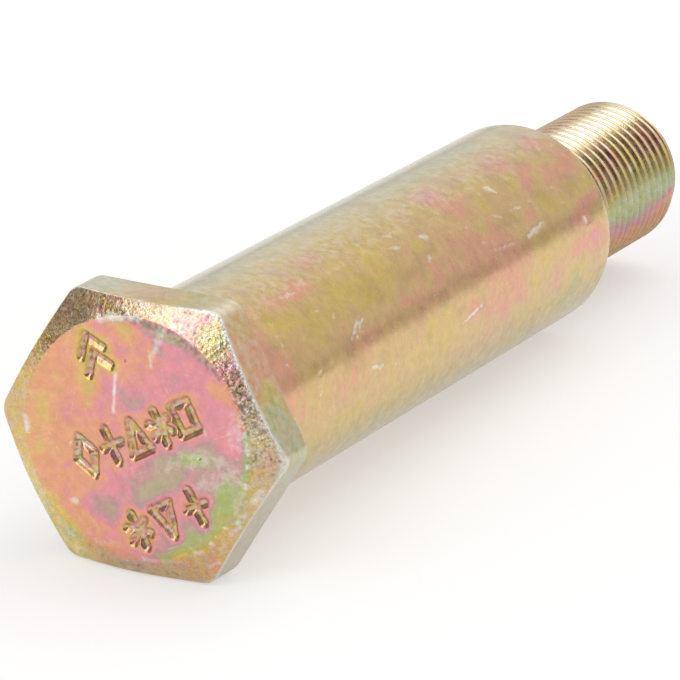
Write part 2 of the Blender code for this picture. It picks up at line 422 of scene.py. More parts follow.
# The chamfer round the face: angle, tone, grime (darker still in the grain's pits as painted shade), wear
# (raised at the top into a paler painted highlight) and how coarse its grain is.
# Two rows 0.01 degrees apart make a step.
CHAMFER_LOOK = [
    (-180, GOLD - 0.03, 0.3, 0.2, 0.15), (-162, GOLD - 0.05, 0.12, 0.22, 0.15),
    (-148, YELLOW - 0.04, 0, 0.3, 0.15), (-136, LIME + 0.08, 0.02, 0.3, 0.25),
    (-122, LIME + 0.06, 0.03, 0.28, 0.12), (-114, YELLOW, 0.4, 0.2, 0.15),
    (-106, YELLOW + 0.08, 0.8, 0.25, 0.2), (-92, GOLD, 1.15, 0.45, 0.18),
    (-80, GOLD + 0.03, 1, 0.38, 0.18), (-79.99, GOLD + 0.03 + AGAIN, 1, 0.38, 0.18),
    (-66, GOLD + 0.04 + AGAIN, 0.8, 0.26, 0.18), (-52, GOLD + 0.05 + AGAIN, 0.5, 0.2, 0.2),
    (-40, GOLD + 0.04 + AGAIN, 0.4, 0.22, 0.15), (-28, YELLOW + 0.06 + AGAIN, 0.7, 0.28, 0.2),
    (-16, YELLOW + AGAIN, 0.6, 0.26, 0.2), (-8, GOLD + 0.05 + AGAIN, 0.6, 0.3, 0.25),
    (-2, GOLD + 0.05 + AGAIN, 0.7, 0.36, 0.35), (4, GOLD + AGAIN, 0.6, 0.42, 0.5),
    (10, YELLOW + AGAIN, 0.5, 0.5, 0.7), (14, GOLD - 0.02 + AGAIN, 0.5, 0.55, 0.8),
    (14.01, GOLD - 0.02, 0.5, 0.55, 0.8), (20, GOLD + 0.06, 0.6, 0.5, 1),
    (28, ORANGE, 0.85, 0.42, 1.3), (36, ORANGE + 0.03, 0.75, 0.36, 1.3),
    (44, ORANGE + 0.09, 0.24, 0.3, 1.2), (50, YELLOW - 0.04, 0.36, 0.36, 1),
    (56, LIME + 0.06, 0.28, 0.36, 0.9), (62, ROSE - 0.02, 0.55, 0.36, 0.7),
    (68, ROSE - 0.05, 0.38, 0.4, 0.5), (76, ORANGE, 0.52, 0.42, 0.4),
    (84, GOLD + 0.02, 0.46, 0.42, 0.5), (92, GOLD, 0.36, 0.44, 0.7),
    (100, GOLD + 0.05, 0.1, 0.32, 0.8), (108, GOLD + 0.02, 0, 0.2, 0.8),
    (116, GOLD + 0.02, 0, 0.32, 0.8), (128, GOLD + 0.02, 0, 0.26, 0.8),
    (140, GOLD + 0.02, 0, 0.18, 0.8), (148, GOLD - 0.03, 0.1, 0.16, 0.6),
    (156, GOLD - 0.04, 0.2, 0.18, 0.4), (180, GOLD - 0.03, 0.3, 0.2, 0.15),
]

# Wear on the head's face: two ends of each mark, its half width and strength
FACE_WEAR = [
    (-2.2, 6, -2.4, 2.2, 0.14, 0.7), (1.6, 8.6, 2.9, 11.4, 0.3, 0.42), (-4.1, 11.3, -2.2, 11.65, 0.34, 0.85),
    (-2.2, 11.65, 0.3, 11.9, 0.26, 0.7), (1.3, 9, 1.6, 7.4, 0.15, 0.4), (-11.9, 0.1, -11.7, -1.3, 0.25, 0.6),
    (12.4, -4, 13.1, -3, 0.35, 0.8), (11, -6.2, 11.5, -5.5, 0.3, 0.7), (6.6, -10.1, 7.3, -9.8, 0.22, 0.6),
    (10.2, -7.5, 11, -6.7, 0.24, 0.6), (9, -9.3, 9.5, -8.8, 0.2, 0.5), (7.6, -11.4, 8.7, -10.8, 0.22, 0.5),
    (11.1, 5.8, 11.7, 4.8, 0.35, 0.7), (12, 3.6, 12.4, 1.8, 0.3, 0.5), (1.2, -11.7, 5, -11.3, 0.2, 0.4),
    (-6.4, -7.3, -6.2, -7.1, 0.25, 0.5), (7.2, 2.3, 7.4, 2, 0.22, 0.45), (-6.6, -1, -6.9, -1.6, 0.12, 0.4),
]

# Places on the face where the film is rubbed thin and pale: oval, level and strength
FACE_RUBS = [
    (6.8, -0.7, 2.2, 0.9, 10, 0.36, 1), (9.6, -1.4, 1.8, 1.4, 0, 0.3, 1), (8, -3, 1.6, 0.9, 10, 0.3, 1),
    (10.8, 2.6, 1, 2, 0, 0.34, 1), (11.2, -5, 1, 4, -14, 0.3, 1), (4.4, -1.6, 1.8, 0.8, 25, 0.24, 1),
    (7.6, -9.6, 3, 0.9, 32, 0.2, 1),
]

# Soft fields on the shoulder, as on the face. The middle of an oval is given by its place along the
# bolt from the bearing face and its angle round the bolt, its reaches are in millimetres
SHOULDER_FIELDS = [
    (35, 112, 60, 3.6, 0, LIME + 0.02, 0.85), (35, -36, 60, 3.4, 0, LIME + 0.04, 0.8),
    (30, 92, 30, 2.4, 0, YELLOW - 0.03, 0.7), (4, 45, 2.6, 9, 0, ORANGE + 0.06, 0.8),
    (10, 52, 4.4, 2, 0, YELLOW, 0.8), (24, 45, 9, 2.4, 0, YELLOW + 0.02, 0.95),
    (14, 61, 6, 1.2, 0, TAUPE - 0.02, 0.3), (20, 74, 3.2, 1.3, 10, ORANGE + 0.05, 0.6),
    (30, 24, 20, 1.8, 0, ORANGE - 0.02, 0.7), (40, 34, 7, 2.2, 0, ORANGE + 0.02, 0.6),
    (46.6, 75, 3.2, 1.5, 0, ROSE - 0.02, 0.9), (49, 61, 4, 1.5, 0, ORANGE + 0.06, 0.7),
    (50, 32, 6, 2.8, 0, ORANGE + 0.02, 0.8), (54, 22, 5, 1.4, 0, ORANGE + 0.02, 0.6),
    (51.6, 12, 2.6, 1, 0, ORANGE + 0.06, 0.8), (57, 62, 3, 1.4, 0, YELLOW + 0.04, 0.7),
    (56, 50, 4.5, 1.4, 0, ORANGE - 0.03, 0.6), (61, 30, 5, 1.2, 0, ORANGE - 0.04, 0.6),
    (64.5, 37, 1.8, 2.2, 0, LIME + 0.05, 0.6), (61, 71, 3, 1.5, 0, ORANGE + 0.04, 0.7),
    (67, 50, 2.6, 2, 0, ORANGE, 0.8), (70.6, 70, 2.4, 1.4, 20, ROSE + 0.02, 0.75),
    (72, 57, 3.2, 1.8, 0, ORANGE - 0.01, 0.85), (71.4, 50, 3.2, 1.8, 0, ORANGE, 0.8),
    (72.5, 38, 2.6, 1, 0, YELLOW + 0.02, 0.8), (71.5, 28, 3, 1, 0, ORANGE + 0.05, 0.8),
    (68, 22, 3.4, 1, 0, ORANGE + 0.12, 0.6), (50, 0, 7, 2, 0, ORANGE + 0.04, 0.8),
    (69.5, 7, 4.5, 1.6, 0, ORANGE + 0.08, 0.85), (61.5, -8, 2.4, 2.4, 0, ORANGE + 0.08, 0.7),
    (57.5, 0, 1.3, 1.8, 0, YELLOW - 0.02, 0.8), (32, -3, 8, 1.8, 0, YELLOW + 0.06, 0.9),
    (14, 5, 8, 2, 0, ORANGE - 0.03, 0.6), (66, -20, 7, 2.2, 0, LIME + 0.03, 0.7),
    (22, -24, 14, 2.6, 0, YELLOW - 0.04, 0.7), (48, -18, 3.8, 1.4, 0, TAUPE, 0.25),
    (58, 95, 12, 2.2, 0, LIME, 0.8), (12, 100, 6, 2.4, 0, LIME + 0.03, 0.6),
    (70, 62, 1.3, 1, 0, YELLOW, 0.8), (66.6, 58, 1.1, 0.9, 0, YELLOW - 0.02, 0.7),
    (63.6, 60, 1.8, 1, 0, ORANGE + 0.02, 0.7), (60, 46, 1.6, 1.2, 0, ORANGE, 0.7),
    (62.6, 53, 1.4, 0.8, 0, ORANGE + 0.04, 0.7), (73, 46, 1.2, 1.1, 0, YELLOW + 0.03, 0.7),
    (58.6, 38, 1.5, 0.9, 0, ORANGE, 0.6), (52.6, 55, 1.5, 0.9, 0, YELLOW + 0.02, 0.7),
    (44, 44, 2, 1.2, 0, ORANGE + 0.03, 0.6), (37, 49, 2.4, 1, 0, YELLOW + 0.01, 0.7),
]

# Nicks and scuffs on the shoulder: two ends, half width and strength, with places as for its fields
SHOULDER_NICKS = [
    (18, 26, 20.6, 34.5, 0.2, 0.9), (18.9, 25, 21.5, 34, 0.16, 0.8), (16.7, 39, 17.2, 42, 0.25, 0.6),
    (14.2, 48.5, 15.2, 47, 0.2, 0.5), (20.3, 7.6, 22.9, 4.6, 0.22, 0.8), (24.6, 3.2, 26.2, 1, 0.14, 0.4),
    (39.7, 2.6, 44.4, 6.6, 0.26, 0.95), (37.1, 41, 38.2, 44, 0.35, 0.75), (38.9, 55, 40.2, 53.5, 0.55, 0.7),
    (33.2, 57.5, 34.6, 55.6, 0.35, 0.6), (33.6, 65, 35.4, 63.6, 0.4, 0.5), (35.6, 65.2, 36.4, 64.8, 0.4, 0.5),
    (11.6, 62.5, 14.4, 61, 0.45, 0.5), (13.8, 66, 14.3, 62, 0.2, 0.5), (56, 62.5, 56.6, 56.5, 0.38, 0.85),
    (56.8, 27, 60.4, 30, 0.42, 0.95), (69.5, 20.6, 69.8, 16.4, 0.42, 0.95), (48.6, 30, 53.6, 27.6, 0.14, 0.5),
    (48.2, 36, 50.4, 33.6, 0.2, 0.4), (12.9, 19, 13.6, 22, 0.18, 0.6), (9.8, 8.6, 10.6, 9.6, 0.3, 0.6),
    (10.2, 18, 11, 19.6, 0.18, 0.4), (53.4, 44.6, 53.9, 43.4, 0.3, 0.6), (56.8, 43.6, 58.4, 43, 0.28, 0.55),
    (60, 45, 60.6, 43, 0.3, 0.5), (46.6, 47.8, 47.4, 47.2, 0.25, 0.5), (65.6, 44.8, 66.2, 43.6, 0.25, 0.5),
    (66.4, 35, 66.6, 31, 0.25, 0.4), (26.9, 70.6, 27.1, 66.6, 0.25, 0.35), (44.6, 83, 47, 81.6, 0.18, 0.35),
    (5.6, 59.5, 6.8, 57.6, 0.16, 0.5), (5.4, 31, 6, 30.4, 0.2, 0.6), (30.4, 30, 30.8, 27.6, 0.14, 0.3),
    (24.2, 52.5, 24.8, 51.4, 0.14, 0.4), (62.4, 76, 64, 74.6, 0.2, 0.35), (33, -9, 34, -10.4, 0.2, 0.3),
    (47.6, -16, 49.4, -19, 0.5, 0.4), (12, 130, 15, 126, 0.25, 0.5), (40, 150, 42, 158, 0.3, 0.6),
    (60, 170, 65, 168, 0.22, 0.6), (25, 200, 27, 208, 0.25, 0.6), (52, 215, 55, 212, 0.35, 0.6),
    (7.4, 60, 6.9, 46, 0.16, 0.4), (6.9, 46, 5.8, 31, 0.16, 0.4),
]

# Soft fields on the thread, in the same terms
THREAD_FIELDS = [
    (90, 78, 14, 3, 0, YELLOW + 0.04 + AGAIN, 0.9), (82, 50, 3, 1.6, 0, YELLOW + AGAIN, 0.8),
    (89, 42, 1.6, 3.4, 0, LIME + 0.06 + AGAIN, 0.7), (97, 34, 3, 2.4, 0, ORANGE - 0.02 + AGAIN, 0.6),
    (94, -24, 9, 2.4, 0, ORANGE, 0.85), (92, 25, 12, 1.7, 0, LIME + 0.04 + AGAIN, 0.8),
    (88, 1, 6.2, 3.2, 0, MINT + 0.03, 1), (95.5, 5, 4.2, 2.6, 0, MINT, 0.95),
    (83, 2, 1.6, 2.2, 0, MINT + 0.05, 0.7), (101.2, 3, 1.5, 2.8, 0, ORANGE + 0.1, 0.9),
    (104.6, 0, 1.4, 7, 0, GOLD + 0.05, 0.8),
]

# Bright worn spots on the thread's crests: place and radius
THREAD_SPOTS = [
    (93.2, 55, 0.5), (85.6, 42, 0.4), (88, 29, 0.5), (91.2, 43, 0.35), (97, 48, 0.3),
    (100, 40, 0.3), (84.2, 33, 0.3), (99, 24, 0.25), (102.6, 52, 0.3), (94.6, 31, 0.25),
]

# Soft fields on the sides of the head, with the angle round it first and the place along it second
SIDE_FIELDS = [
    (32, -3, 6.4, 7, 0, ORANGE + 0.06 + AGAIN, 1), (54, -3, 3.4, 7, 0, ORANGE + 0.05 + AGAIN, 1),
    (36, -2, 1.8, 1.8, 0, ORANGE + 0.06 + AGAIN, 0.7), (46, -2.6, 1.6, 2.4, 0, ORANGE + 0.05 + AGAIN, 0.6),
    (25, -2.9, 0.9, 2, 0, GOLD + 0.02 + AGAIN, 0.8), (5, -3, 2.4, 7, 0, YELLOW + 0.08 + AGAIN, 1),
    (15, -3.4, 1.2, 2.2, 0, LIME + 0.03 + AGAIN, 1), (21.8, -2.8, 1, 1.8, 0, YELLOW - 0.01 + AGAIN, 1),
    (18, -1, 1.2, 0.9, 0, GOLD + 0.1 + AGAIN, 0.7), (90, -3, 8, 7, 0, LIME + 0.08 + AGAIN, 1),
    (88, -3.2, 2.8, 2.4, 0, GOLD + 0.08 + AGAIN, 0.9), (70, -3, 2, 5, 0, LIME + 0.04 + AGAIN, 0.8),
    (-30, -3, 8, 6, 0, TAUPE + 0.02, 1),
]

# Wear to the steel by angle round the bolt, which on the thread is also a painted highlight
FRONT_EDGE_WEAR = [(-180, 0.25), (-130, 0.3), (-100, 0.4), (-60, 0.75), (-20, 0.8), (-2, 1.1), (8, 1.2),
                   (50, 1.2), (64, 1.1), (80, 0.7), (110, 0.55), (125, 0.5), (140, 0.25), (180, 0.25)]
SIDE_WEAR = [(-180, 0.3), (-65, 0.36), (-5, 0.36), (2, 0.4), (7, 0.36), (16, 0.34), (24, 0.24), (56, 0.22),
             (59, 0.5), (62, 0.6), (66, 0.36), (74, 0.3), (88, 0.24), (100, 0.44), (112, 0.58),
             (125, 0.66), (180, 0.3)]
SHOULDER_WEAR = [(-90, 0.1), (-60, 0.3), (-40, 0.26), (-15, 0), (52, 0), (66, 0.16), (80, 0.3), (92, 0.38),
                 (104, 0.42), (116, 0.44), (140, 0.1)]
# on the thread, wear raised from 72 to 88 degrees, where the lamp's highlight falls, is a painted highlight
THREAD_WEAR_AND_HIGHLIGHT = [(-180, 0.1), (-30, 0.22), (10, 0.3), (20, 0.28), (45, 0.3), (62, 0.32), (72, 0.6), (88, 0.6),
               (96, 0.35), (105, 0.4), (180, 0.1)]

# Painted shade by angle round the bolt, laid on in the brown of dirt
SIDE_PAINTED_SHADE = [(-90, 0.2), (-30, 0.3), (-2, 0.26), (2, 0.1), (50, 0), (60, 0.04), (72, 0.14), (90, 0.14),
              (120, 0.1)]
SHOULDER_PAINTED_SHADE = [(-90, 0.4), (-60, 0.5), (-40, 0.5), (-20, 0.38), (-8, 0.16), (8, 0.08), (16, 0), (98, 0),
                  (110, 0.22), (122, 0.32), (160, 0.1)]
THREAD_PAINTED_SHADE = [(-90, 0.2), (-40, 0.55), (-20, 0.52), (0, 0.24), (10, 0.24), (22, 0.55), (32, 0.2),
                (60, 0.1), (92, 0.12), (102, 0.38)]


def turned_about(across, up, x, y, turn):
    """Places seen from a point, along axes that are turned by some degrees."""
    cosine, sine = math.cos(math.radians(turn)), math.sin(math.radians(turn))
    right, over = across - x, up - y
    return right * cosine + over * sine, over * cosine - right * sine


def oval(across, up, x, y, wide, high, turn, power):
    """1 in the middle of an oval, falling softly to nothing past its reaches."""
    first, second = turned_about(across, up, x, y, turn)
    return np.exp(-((first / wide) ** 2 + (second / high) ** 2) ** power)


def add_fields(tone, across, up, fields, up_scale=1.0):
    """Blends each soft field into the tones. Places are in millimetres, or degrees times up_scale."""
    for x, y, wide, high, turn, field_tone, strength in fields:
        weight = strength * oval(across, up, x, y * up_scale, wide, high, turn, 1.3)
        tone = tone + (field_tone - tone) * weight
    return tone


def stroke_distance(across, up, start, end):
    """Distance in a plane from points to the stroke from start to end, and where along it they are."""
    span = (end[0] - start[0], end[1] - start[1])
    length = span[0] ** 2 + span[1] ** 2
    share = np.clip(((across - start[0]) * span[0] + (up - start[1]) * span[1]) / length, 0.0, 1.0)
    return np.hypot(across - start[0] - share * span[0], up - start[1] - share * span[1]), share


# Millimetres round the shoulder in one degree
DEGREE = math.radians(1.0) * SHOULDER_RADIUS / MM


def unroll(points):
    """Places on the shoulder as millimetres along the bolt and round it, from -90 to 270 degrees."""
    angle = (np.arctan2(points[:, 2], points[:, 0]) + math.pi / 2.0) % math.tau - math.pi / 2.0
    return points[:, 1] / MM, angle * SHOULDER_RADIUS / MM


def nick_depths(along, arc, margin=0.0, ragged=0.0):
    """How deep the deepest nick is at each place on the shoulder, from 0 to 1."""
    deepest = np.zeros(len(along))
    for *ends, half_width, strength in SHOULDER_NICKS:
        start, end = (ends[0], ends[1] * DEGREE), (ends[2], ends[3] * DEGREE)
        distance, share = stroke_distance(along, arc, start, end)
        taper = 1.0 - 0.65 * (2.0 * share - 1.0) ** 2
        distance = np.maximum(distance + ragged, 0.0) / (half_width * 1.25 * taper + margin)
        deepest = np.maximum(deepest, strength * (1.0 - smooth_step(0.0, 1.0, distance)))
    return deepest


class Surface:
    """The bolt's points in bolt space, in millimetres and degrees, and what each of them lies on."""

    def __init__(self, points):
        self.points = points
        self.across, self.along, self.up = points.T / MM
        self.radius = np.hypot(self.across, self.up)
        self.angle = np.degrees(np.arctan2(self.up, self.across))
        outer = hexagon_radius(np.radians(self.angle))
        shoulder_length = SHOULDER_LENGTH / MM + 1e-6
        self.on_head = self.along < 1e-6
        self.on_front = self.on_head & (self.along < front_place(self.radius * MM) / MM + 0.12)
        self.on_sides = self.on_head & ~self.on_front
        self.on_shoulder = (self.along > -1e-6) & (self.along <= shoulder_length)
        self.on_thread = self.along > shoulder_length
        self.from_front_edge = np.hypot(self.along - front_place(outer) / MM, self.radius - outer / MM)
        self.from_rear_edge = np.hypot(self.along, self.radius - outer / MM)
        # the chamfer's looks begin sharply at its top and softly elsewhere
        soft = 0.2 + 0.7 * smooth_step(50.0, 72.0, np.abs(self.angle - 88.0))
        inward = (self.radius - CHAMFER_START) / soft / 2.0
        self.on_chamfer = smooth_step(0.0, 1.0, inward + 0.5) * self.on_front
        # the chamfer's looks change raggedly, by some degrees
        self.chamfer_angle = np.clip(self.angle + 9.0 * self.lumps(1.8, 21), -180.0, 180.0)
        self.nicks = nick_depths(*unroll(points), ragged=0.3 * self.lumps(0.45, 18)) * self.on_shoulder

    def lumps(self, size, seed):
        """Smooth noise from about -0.6 to 0.6, with lumps of some millimetres. Each seed is a pattern."""
        shift = np.array((seed * 7.31, seed * 3.17, seed * 5.71))
        return np.array([noise.noise(point) for point in (self.points / (size * MM) + shift).tolist()])

    def by_angle(self, table):
        return np.interp(self.angle, *zip(*table))

    def chamfer_look(self, column):
        angles, looks = ([row[place] for row in CHAMFER_LOOK] for place in (0, column))
        return np.interp(self.chamfer_angle, angles, looks)

    def mark_distance(self):
        """Distance to the nearest stroke of a mark, in millimetres, and the tone round that mark."""
        nearest = np.full(len(self.points), FAR)
        tone = np.full(len(self.points), ORANGE)
        for strokes, x, y, turn, mark_tone in MARKS:
            local = turned_about(self.across, self.up, x, y, turn)
            for start, end in strokes:
                distance = stroke_distance(*local, start, end)[0]
                tone = np.where(distance < nearest, mark_tone, tone)
                nearest = np.minimum(nearest, distance)
        return np.where(self.on_front, nearest, FAR), tone


def head_relief(surface, nearest_mark):
    """How far each point of the head's front stands out of its plain form, in metres, and its grain."""
    nearest = nearest_mark * MM + surface.lumps(0.8, 1) * MARK_RAGGED
    relief = -MARK_DEPTH * (1.0 - smooth_step(MARK_FLOOR, MARK_REACH, nearest))
    relief += MARK_LIP * hump(nearest - MARK_LIP_PLACE, MARK_LIP_WIDTH)
    relief += FACE_WAVE * surface.lumps(5.0, 2) + FACE_RIPPLE * surface.lumps(1.3, 3)
    for *place, depth in DENTS:
        relief -= depth * MM * oval(surface.across, surface.up, *place, 1.5)
    # the grain is coarse on the chamfer, finer towards its rim, and coarse again in the marks
    coarse = surface.chamfer_look(4) * smooth_step(11.2, 12.0, surface.radius)
    coarse *= 0.35 + 0.65 * smooth_step(0.05, 0.6, surface.from_front_edge)
    coarse = np.maximum(coarse, 0.45 * (1.0 - smooth_step(0.35, 0.6, nearest_mark)))
    grain = (surface.lumps(0.36, 4) + 0.6 * surface.lumps(0.22, 5)) * coarse
    return (relief + GRAIN_HEIGHT * grain) * surface.on_front, grain


def side_relief(surface):
    """Small waves and dings on the sides and edges of the head."""
    near_edge = hump(surface.from_front_edge, 0.45) + hump(surface.from_rear_edge, 0.5)
    relief = SIDE_WAVE * surface.lumps(3.0, 6)
    relief -= EDGE_DING * near_edge * np.maximum(surface.lumps(1.1, 7) - 0.12, 0.0)
    return relief * surface.on_sides * (surface.along < -0.05)


def shank_relief(surface):
    """Very small waves on the shoulder and the thread, and the shoulder's nicks."""
    waves = SHANK_WAVE * surface.lumps(4.0, 8)
    dings = THREAD_DING * np.maximum(surface.lumps(0.9, 9) - 0.25, 0.0) * surface.on_thread
    return (waves - dings) * (surface.along > 1.0) - NICK_DEPTH * surface.nicks


def paint_tones(surface, nearest, mark_tone):
    """Tone of the plating film at each point."""
    warp_up = 1.1 * surface.lumps(2.2, 12)
    across, up = surface.across + 1.1 * surface.lumps(2.2, 11), surface.up + warp_up
    along = surface.along + 1.6 * surface.lumps(3.0, 13)
    arc = surface.angle * DEGREE + warp_up
    wander = surface.lumps(7.0, 14)

    face = add_fields(ORANGE + 0.05 + 0.1 * wander, across, up, FACE_FIELDS)
    face += (mark_tone - face) * 0.85 * hump(np.maximum(nearest - 0.4, 0.0), 0.55)
    face += (GOLD + 0.06 + 0.45 * surface.lumps(0.5, 15) - face) * (1.0 - smooth_step(0.3, 0.55, nearest))
    face += (surface.chamfer_look(1) + 0.15 * surface.lumps(0.9, 16) - face) * surface.on_chamfer

    side_fields = [(angle * DEGREE, *rest) for angle, *rest in SIDE_FIELDS]
    side = add_fields(TAUPE + 0.25 * wander, arc, surface.along, side_fields)
    hidden = smooth_step(125.0, 160.0, np.abs(surface.angle - 30.0))
    shank = GOLD - 0.03 + (0.1 + 0.5 * hidden) * wander + 0.1 * surface.lumps(2.5, 17)
    shoulder = add_fields(shank, along, arc, SHOULDER_FIELDS, DEGREE)
    # the thread's tones go up once round the scale on its right, so that its green has no pink rim above
    round_scale = np.interp(surface.angle, [-10.0, 20.0], [0.0, AGAIN])
    thread = add_fields(GOLD + 0.05 + round_scale + 0.15 * wander, along, arc, THREAD_FIELDS, DEGREE)
    return np.select([surface.on_front, surface.on_head, surface.on_shoulder], [face, side, shoulder], thread)


def paint_wear_and_highlight(surface, nearest):
    """How far the plating is rubbed through to the steel at each point, and where it is paled into a painted
    highlight.
    """
    ragged = (1.0 + 0.6 * surface.lumps(0.5, 20)) * surface.on_front
    # the front edge is worn in a band, wider at the corners
    corner = hump(np.degrees(from_corner(np.radians(surface.angle))), 5.0)
    reach = 0.18 + 0.09 * smooth_step(34.0, 20.0, np.abs(surface.angle - 28.0))
    reach += np.where(np.abs(surface.angle) < 30.0, 0.5, 0.2) * corner
    # a broken pale line where the face meets the chamfer, on the right
    ring = hump(surface.radius - 12.0, 0.28) * smooth_step(0.0, 0.35, surface.lumps(0.7, 22))
    ring *= smooth_step(42.0, 30.0, np.abs(surface.angle + 14.0)) * surface.on_front
    inside_marks = 1.0 - smooth_step(0.3, 0.5, nearest)
    crest = smooth_step(THREAD_RADIUS / MM - 0.16, THREAD_RADIUS / MM, surface.radius) * surface.on_thread
    layers = [
        # the chamfer's wear, paler at its top as a painted highlight
        surface.chamfer_look(3) * surface.on_chamfer,
        surface.by_angle(FRONT_EDGE_WEAR) * hump(surface.from_front_edge, reach) * surface.on_head,
        0.36 * hump(surface.from_rear_edge, 0.5) * surface.on_head,
        add_fields(0.0, surface.across, surface.up, FACE_RUBS) * ragged,
        # inside the marks, wear with pale specks as painted highlight
        inside_marks * (0.26 + 0.5 * surface.lumps(0.45, 24)),
        0.8 * ring,
        surface.by_angle(SIDE_WEAR) * surface.on_sides,
        surface.by_angle(SHOULDER_WEAR) * surface.on_shoulder,
        0.6 * hump(surface.along - SHOULDER_LENGTH / MM + 0.25, 0.3) * surface.on_shoulder,
        0.86 * surface.nicks,
        surface.by_angle(THREAD_WEAR_AND_HIGHLIGHT) * surface.on_thread,
    ]
    for *ends, half_width, strength in FACE_WEAR:
        distance = stroke_distance(surface.across, surface.up, ends[:2], ends[2:])[0]
        layers.append(strength * ragged * hump(distance / half_width, 1.4))
    along, arc = unroll(surface.points)
    for place, angle, radius in THREAD_SPOTS:
        distance = np.hypot(along - place, arc - angle * DEGREE) / radius
        layers.append(1.2 * crest * (1.0 - smooth_step(0.3, 1.0, distance / 1.4)))
    return np.maximum.reduce(layers)


def paint_grime_and_shade(surface, nearest, grain):
    """How far each point is darkened towards the brown: dirt and thick brown film, and painted shade in the
    grain's pits, on and in the punched marks, in the thread's roots and by angle round the bolt.
    """
    pit_shade = smooth_step(0.0, 0.35, -grain)
    # a speckled dark fringe just inside the chamfer, at the top right
    fringe = hump(surface.radius - 11.6, 0.5) * smooth_step(32.0, 26.0, np.abs(surface.angle - 68.0))
    fringe *= smooth_step(-0.12, 0.3, surface.lumps(0.4, 19)) * surface.on_front
    root = 1.0 - smooth_step(THREAD_RADIUS / MM - 0.9, THREAD_RADIUS / MM - 0.35, surface.radius)
    smudge = smooth_step(0.05, 0.5, surface.lumps(2.4, 23)) * (surface.angle > 5.0)
    return np.maximum.reduce([
        # the chamfer's brown, darker still in the grain's pits as painted shade
        surface.chamfer_look(2) * surface.on_chamfer * (0.55 + 1.1 * pit_shade),
        # painted shade on the walls of the marks, and inside them painted shade with brown dirt
        0.34 * hump(nearest - MARK_WALL, 0.14),
        (0.24 + 0.8 * pit_shade) * (nearest < MARK_WALL),
        0.65 * fringe,
        # painted shade by angle round the bolt, darker still in the thread's roots
        (surface.by_angle(THREAD_PAINTED_SHADE) + 0.25 * root) * surface.on_thread,
        np.maximum(surface.by_angle(SHOULDER_PAINTED_SHADE), 0.22 * smudge) * surface.on_shoulder,
        surface.by_angle(SIDE_PAINTED_SHADE) * surface.on_sides,
    ])


def write_attribute(mesh, name, values, domain="POINT"):
    attribute = mesh.attributes.new(name, "FLOAT", domain)
    attribute.data.foreach_set("value", values.astype(np.float32))


def write_film(mesh, tones):
    """The tones at each face's corners. Low corners of a face across the scale's end go round again."""
    corner_points = np.zeros(len(mesh.loops), dtype=np.int32)
    mesh.loops.foreach_get("vertex_index", corner_points)
    starts = np.zeros(len(mesh.polygons), dtype=np.int32)
    mesh.polygons.foreach_get("loop_start", starts)
    values = tones[corner_points]
    sizes = np.diff(np.append(starts, len(values)))
    highest = np.repeat(np.maximum.reduceat(values, starts), sizes)
    write_attribute(mesh, "film", np.where(highest - values > AGAIN / 2.0, values + AGAIN, values), "CORNER")


def round_shoulder(points):
    """Moves the points that a split put on a facet out to the shoulder's radius."""
    plain = (points[:, 1] > FILLET) & (points[:, 1] < SHOULDER_LENGTH - SHOULDER_CHAMFER - 0.1 * MM)
    points[plain, ::2] *= SHOULDER_RADIUS / np.linalg.norm(points[plain, ::2], axis=-1, keepdims=True)


def dress_bolt(mesh):
    """Gives the plain surface its relief and paints its attributes, then lays it in the frame."""
    points = np.zeros((len(mesh.vertices), 3))
    mesh.vertices.foreach_get("co", points.ravel())
    round_shoulder(points)
    normals = np.zeros((len(mesh.vertices), 3), dtype=np.float32)
    mesh.vertex_normals.foreach_get("vector", normals.ravel())
    surface = Surface(points)
    nearest, mark_tone = surface.mark_distance()
    relief, grain = head_relief(surface, nearest)
    relief += side_relief(surface) + shank_relief(surface)
    write_film(mesh, paint_tones(surface, nearest, mark_tone))
    painted = {
        "worn_and_highlight": paint_wear_and_highlight(surface, nearest), "grime_and_shade": paint_grime_and_shade(surface, nearest, grain),
        "grain": surface.chamfer_look(4) * surface.on_chamfer,
    }
    for name, values in painted.items():
        write_attribute(mesh, name, np.clip(values, 0.0, MOST_PAINT))
    turn = np.array(Matrix.Rotation(-TILT, 3, "X"))
    moved = (points + normals * relief[:, None]) @ turn.T + np.array(ORIGIN)
    mesh.vertices.foreach_set("co", moved.ravel())
    mesh.shade_smooth()
    mesh.update()


# Node trees

class Wire:
    """An output of a node. Sums and products of wires and numbers add Math nodes to its tree."""

    def __init__(self, nodes, socket):
        self.nodes = nodes
        self.socket = socket

    def __add__(self, other):
        return self.nodes.math("ADD", self, other)

    def __sub__(self, other):
        return self.nodes.math("SUBTRACT", self, other)

    def __mul__(self, other):
        return self.nodes.math("MULTIPLY", self, other)

    def __truediv__(self, other):
        return self.nodes.math("DIVIDE", self, other)


